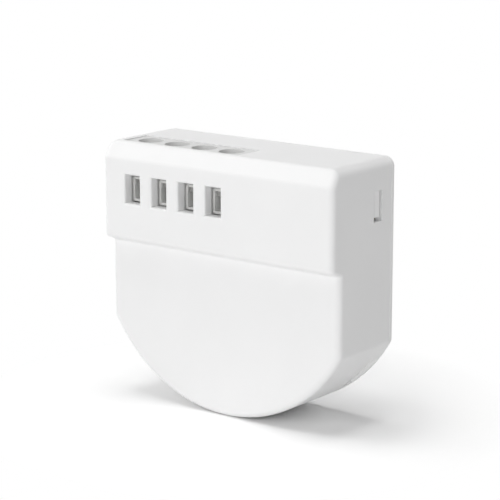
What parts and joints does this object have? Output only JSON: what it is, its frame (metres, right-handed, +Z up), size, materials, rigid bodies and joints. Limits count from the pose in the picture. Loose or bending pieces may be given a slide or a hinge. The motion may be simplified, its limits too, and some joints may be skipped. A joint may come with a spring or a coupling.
{
  "type": "smart switch module",
  "caption": "In-wall smart relay module: D-shaped white casing, stepped upper block with wire entries, rising-cage screw clamps and a load relay inside.",
  "frame": {"origin": "bottom centre of the bounding box, under the lowest point of the arc", "axes": "+X to the right seen from the wire entries, +Y to the rear cover, +Z up to the screw holes"},
  "size_m": [0.042, 0.0152, 0.0392],
  "materials": {
    "casing_white": "fine satin moulded plastic",
    "terminal_white": "moulded plastic",
    "screw_steel": "zinc plated",
    "cage_steel": "plated pressed steel",
    "bar_brass": "tinned brass",
    "board_green": "solder mask on glass fibre laminate",
    "sheet_clear": "translucent film",
    "relay_case": "moulded plastic",
    "relay_plastic": "moulded plastic",
    "relay_iron": "nickel plated soft iron",
    "winding_copper": "enamelled copper wire",
    "spring_bronze": "spring bronze",
    "capacitor_sleeve": "shrunk sleeve",
    "ferrite": "sintered ferrite",
    "varistor_blue": "dipped coating",
    "resistor_coat": "dipped coating",
    "film_yellow": "moulded box",
    "chip_black": "moulded resin with tinned legs",
    "chip_ceramic": "chip resistor body",
    "chip_tan": "chip capacitor body",
    "radio_blue": "solder mask on laminate",
    "shield_metal": "tinned sheet",
    "antenna_copper": "gold plated copper track"
  },
  "bodies": {
    "module": {"front_housing": "casing_white", "rear_cover": "casing_white", "insulation_sheet": "sheet_clear", "terminal_body": "terminal_white", "main_board": "board_green", "relay_cover": "relay_case", "relay_base": "relay_plastic", "relay_coil_pins": "screw_steel", "relay_yoke": "relay_iron", "relay_core": "relay_iron", "relay_bobbin": "relay_plastic", "relay_coil": "winding_copper", "relay_fixed_contact": "spring_bronze", "relay_return_spring": "spring_bronze", "output_capacitor": "capacitor_sleeve", "choke_core": "ferrite", "choke_winding": "winding_copper", "varistor": "varistor_blue", "fusible_resistor": "resistor_coat", "film_capacitor": "film_yellow", "bridge_rectifier": "chip_black", "supply_chip": "chip_black", "voltage_regulator": "chip_black", "optocoupler": "chip_black", "relay_transistor": "chip_black", "coil_diode": "chip_black", "chip_resistors": "chip_ceramic", "chip_capacitors": "chip_tan", "radio_board": "radio_blue", "radio_antenna": "antenna_copper", "radio_shield": "shield_metal", "radio_chip": "chip_black", "crystal": "shield_metal", "bulk_capacitor_1": "capacitor_sleeve", "bulk_capacitor_2": "capacitor_sleeve", "current_bar_1": "bar_brass", "current_bar_2": "bar_brass", "current_bar_3": "bar_brass", "current_bar_4": "bar_brass"},
    "screw_1": {"clamp_screw_1": "screw_steel"},
    "cage_1": {"clamp_cage_1": "cage_steel"},
    "screw_2": {"clamp_screw_2": "screw_steel"},
    "cage_2": {"clamp_cage_2": "cage_steel"},
    "screw_3": {"clamp_screw_3": "screw_steel"},
    "cage_3": {"clamp_cage_3": "cage_steel"},
    "screw_4": {"clamp_screw_4": "screw_steel"},
    "cage_4": {"clamp_cage_4": "cage_steel"},
    "armature": {"relay_armature": "relay_iron", "relay_moving_contact": "spring_bronze"}
  },
  "joints": [
    {"name": "screw_1_turn", "type": "hinge", "parent": "module", "child": "screw_1", "pos_m": [-0.0154, -0.003, 0.0368], "axis": [0, 0, 1], "range_deg": [-1440, 0]},
    {"name": "cage_1_rise", "type": "slide", "parent": "module", "child": "cage_1", "axis": [0, 0, 1], "range_m": [0, 0.0018]},
    {"name": "screw_2_turn", "type": "hinge", "parent": "module", "child": "screw_2", "pos_m": [-0.01032, -0.003, 0.0368], "axis": [0, 0, 1], "range_deg": [-1440, 0]},
    {"name": "cage_2_rise", "type": "slide", "parent": "module", "child": "cage_2", "axis": [0, 0, 1], "range_m": [0, 0.0018]},
    {"name": "screw_3_turn", "type": "hinge", "parent": "module", "child": "screw_3", "pos_m": [-0.00524, -0.003, 0.0368], "axis": [0, 0, 1], "range_deg": [-1440, 0]},
    {"name": "cage_3_rise", "type": "slide", "parent": "module", "child": "cage_3", "axis": [0, 0, 1], "range_m": [0, 0.0018]},
    {"name": "screw_4_turn", "type": "hinge", "parent": "module", "child": "screw_4", "pos_m": [-0.00016, -0.003, 0.0368], "axis": [0, 0, 1], "range_deg": [-1440, 0]},
    {"name": "cage_4_rise", "type": "slide", "parent": "module", "child": "cage_4", "axis": [0, 0, 1], "range_m": [0, 0.0018]},
    {"name": "armature_swing", "type": "hinge", "parent": "module", "child": "armature", "pos_m": [0.01434, -0.0043, 0.03195], "axis": [0, 0, 1], "range_deg": [0, 6], "stiffness_Nm_per_rad": 0.0003, "springref_deg": -34.38}
  ],
  "couplings": [
    {"joint": "screw_1_turn", "follows": "cage_1_rise", "rad_per_m": -13963},
    {"joint": "screw_2_turn", "follows": "cage_2_rise", "rad_per_m": -13963},
    {"joint": "screw_3_turn", "follows": "cage_3_rise", "rad_per_m": -13963},
    {"joint": "screw_4_turn", "follows": "cage_4_rise", "rad_per_m": -13963}
  ]
}
